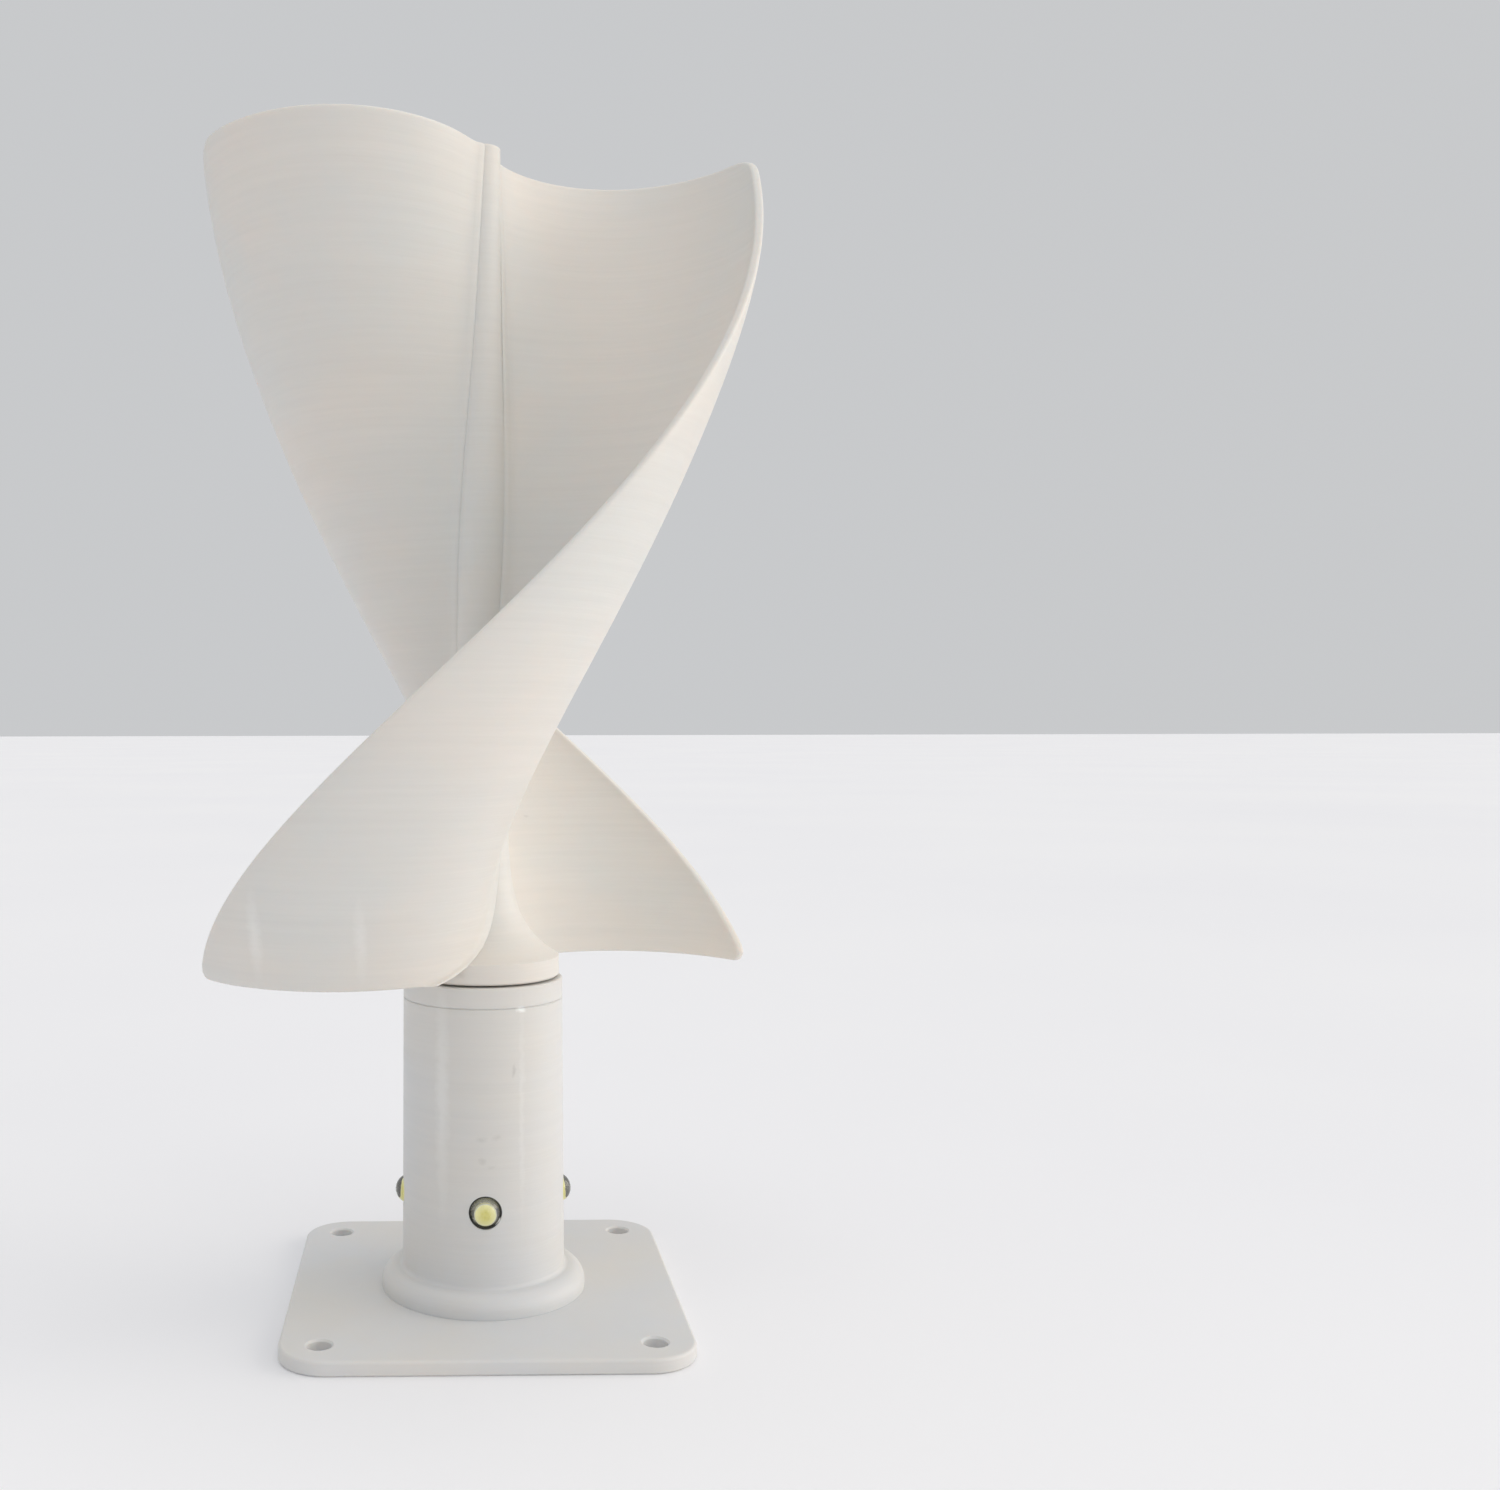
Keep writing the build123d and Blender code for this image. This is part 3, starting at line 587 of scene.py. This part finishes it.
def blade_mesh(name, turn):
    """One blade as a closed sheet with a rounded rim."""
    middle, side, half = (np.array(v) for v in zip(*(blade_row(h, turn) for h in row_heights())))
    rows, columns = half.shape
    outline = np.concatenate([middle[0], middle[:, -1], middle[-1][::-1]])
    for i in range(rows):
        for j in range(columns):
            near_rim = min(i, rows - 1 - i) < rim_rows or columns - 1 - j < rim_columns
            if not near_rim:
                continue
            gap = distance_to_path(middle[i, j], outline)
            if gap < edge_round:
                half[i, j] -= edge_round - sqrt(edge_round ** 2 - (edge_round - gap) ** 2)
    outer = middle + side * half[..., None]
    inner = middle - side * half[..., None]
    vertices = [tuple(v * MM) for v in np.concatenate([outer.reshape(-1, 3), inner.reshape(-1, 3)])]

    def at(face, i, j):
        """A vertex's number. Face 0 is the outer one and face 1 the inner one."""
        return face * rows * columns + i * columns + j

    faces = []
    for i in range(rows - 1):
        for j in range(columns - 1):
            faces.append((at(0, i, j), at(0, i + 1, j), at(0, i + 1, j + 1), at(0, i, j + 1)))
            faces.append((at(1, i, j), at(1, i, j + 1), at(1, i + 1, j + 1), at(1, i + 1, j)))
        for j in (0, columns - 1):
            faces.append((at(0, i, j), at(1, i, j), at(1, i + 1, j), at(0, i + 1, j)))
    for j in range(columns - 1):
        for i in (0, rows - 1):
            faces.append((at(0, i, j), at(0, i, j + 1), at(1, i, j + 1), at(1, i, j)))
    mesh = bpy.data.meshes.new(name)
    mesh.from_pydata(vertices, [], faces)
    shaped = bmesh.new()
    shaped.from_mesh(mesh)
    bmesh.ops.recalc_face_normals(shaped, faces=shaped.faces)
    shaped.to_mesh(mesh)
    shaped.free()
    mesh.shade_smooth()
    mesh.materials.append(materials["rotor_plastic"])
    return mesh


for name, turn in (("blade_a", 0), ("blade_b", 180)):
    blade = link(name + "_shell", blade_mesh(name + "_shell", rotor_rest_turn + turn))
    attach(blade, "rotor")
    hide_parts(name)


# ---------------------------------------------------------------- lamps

lamp_radius = 2.5
lamp_back = 6.8
lamp_tip = 15.45
lamp_flange_radius = 2.9
lamp_flange_thickness = 1.0
lamp_round = 0.15
lamp_sides = 64
phosphor_radius = 1.5
phosphor_back = 12.5
phosphor_front = 13.85
phosphor_round = 0.35
dome_steps = 18
sharp_angle = 35


def turned(shaped, profile, angle, height):
    """Adds a solid turned about a lamp's axis. Its profile runs from the axis back to the axis."""
    outward = Vector((cos(angle), sin(angle), 0))
    across = Vector((-sin(angle), cos(angle), 0))
    rings = []
    for reach, radius in profile:
        centre = outward * reach + Vector((0, 0, height))
        if radius == 0:
            rings.append([shaped.verts.new(centre * MM)])
            continue
        ring = []
        for k in range(lamp_sides):
            around = tau * k / lamp_sides
            point = centre + across * radius * cos(around) + Vector((0, 0, radius * sin(around)))
            ring.append(shaped.verts.new(point * MM))
        rings.append(ring)
    for first, second in zip(rings, rings[1:]):
        for k in range(lamp_sides):
            following = (k + 1) % lamp_sides
            if len(first) == 1:
                shaped.faces.new((first[0], second[following], second[k]))
            elif len(second) == 1:
                shaped.faces.new((first[k], first[following], second[0]))
            else:
                shaped.faces.new((first[k], first[following], second[following], second[k]))


def turned_piece(name, profile, angles, height, slot, stands_for):
    """A piece of one or more turned solids that rides on the tower."""
    shaped = bmesh.new()
    for angle in angles:
        turned(shaped, profile, radians(angle), height)
    bmesh.ops.recalc_face_normals(shaped, faces=shaped.faces)
    mesh = bpy.data.meshes.new(name)
    shaped.to_mesh(mesh)
    shaped.free()
    mesh.shade_smooth()
    mesh.set_sharp_from_angle(angle=radians(sharp_angle))
    mesh.materials.append(materials[slot])
    piece = link(name, mesh)
    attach(piece, "tower")
    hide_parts(stands_for)


def dome(tip, radius):
    """The profile of a half ball that ends at its tip."""
    bends = [pi / 2 * i / dome_steps for i in range(dome_steps)]
    return [(tip - radius + radius * sin(bend), radius * cos(bend)) for bend in bends] + [(tip, 0)]


lamp_angles = {"led_front": 270, "led_right": 0, "led_back": 90, "led_left": 180}
lens_profile = [
    (lamp_back, 0),
    (lamp_back, lamp_flange_radius - lamp_round),
    (lamp_back + lamp_round, lamp_flange_radius),
    (lamp_back + lamp_flange_thickness - lamp_round, lamp_flange_radius),
    (lamp_back + lamp_flange_thickness, lamp_flange_radius - lamp_round),
    (lamp_back + lamp_flange_thickness, lamp_radius),
] + dome(lamp_tip, lamp_radius)
# The phosphor fills the mouth of the reflector cup and bulges a little
phosphor_profile = [
    (phosphor_back, 0),
    (phosphor_back, phosphor_radius - phosphor_round),
    (phosphor_front - phosphor_round, phosphor_radius),
    (phosphor_front - 0.18, phosphor_radius - 0.06),
    (phosphor_front - 0.06, phosphor_radius * 0.7),
    (phosphor_front, 0),
]
for name, angle in lamp_angles.items():
    turned_piece(name + "_lens", lens_profile, [angle], lamp_height, "clear_epoxy", name)
turned_piece("phosphor_discs", phosphor_profile, lamp_angles.values(), lamp_height - phosphor_drop,
             "phosphor_yellow", "led_phosphors")


# ---------------------------------------------------------------- floor and light

sky_colour = (0.965, 0.98, 1.0)
sky_strength = 0.60
side_light_colour = (1, 0.93, 0.84)
top_light_colour = (1, 0.98, 0.95)
floor_half = 15.0  # metres
floor_cells = 8
floor_tones = ((0.92, 0.92, 0.95), (0.95, 0.95, 0.97))


def soft_sun(name, azimuth, elevation, strength, spread, colour):
    """A wide distant light, with its angles in degrees. Azimuth 0 is the front and 90 the right."""
    data = bpy.data.lights.new(name, "SUN")
    data.energy = strength
    data.angle = radians(spread)
    data.color = colour
    around, up = radians(azimuth), radians(elevation)
    towards = Vector((sin(around) * cos(up), -cos(around) * cos(up), sin(up)))
    lamp = link(name, data)
    lamp.rotation_mode = "QUATERNION"
    lamp.rotation_quaternion = towards.to_track_quat("Z", "Y")


world = bpy.data.worlds.new("studio")
scene.world = world
world.use_nodes = True
background = world.node_tree.nodes["Background"]
background.inputs["Color"].default_value = (*sky_colour, 1)
background.inputs["Strength"].default_value = sky_strength
scene.view_settings.view_transform = "Standard"
soft_sun("key", 92, 12, 1.35, 50, side_light_colour)
soft_sun("front", 48, 12, 0.50, 50, side_light_colour)
soft_sun("top", 0, 89, 0.66, 60, top_light_colour)

floor_shape = bmesh.new()
bmesh.ops.create_grid(floor_shape, x_segments=floor_cells, y_segments=floor_cells, size=floor_half)
floor_mesh = bpy.data.meshes.new("floor")
floor_shape.to_mesh(floor_mesh)
floor_shape.free()
floor = link("floor", floor_mesh)
floor_material, floor_tree, floor_shader = new_material("floor", Roughness=0.6)
floor_cloud = remap(floor_tree, noise(floor_tree, 2.5, 3.0), 0.3, 0.7, 0, 1)
floor_colour = blend(floor_tree, floor_cloud, *floor_tones)
floor_tree.links.new(floor_colour, floor_shader.inputs["Base Color"])
floor.data.materials.append(floor_material)
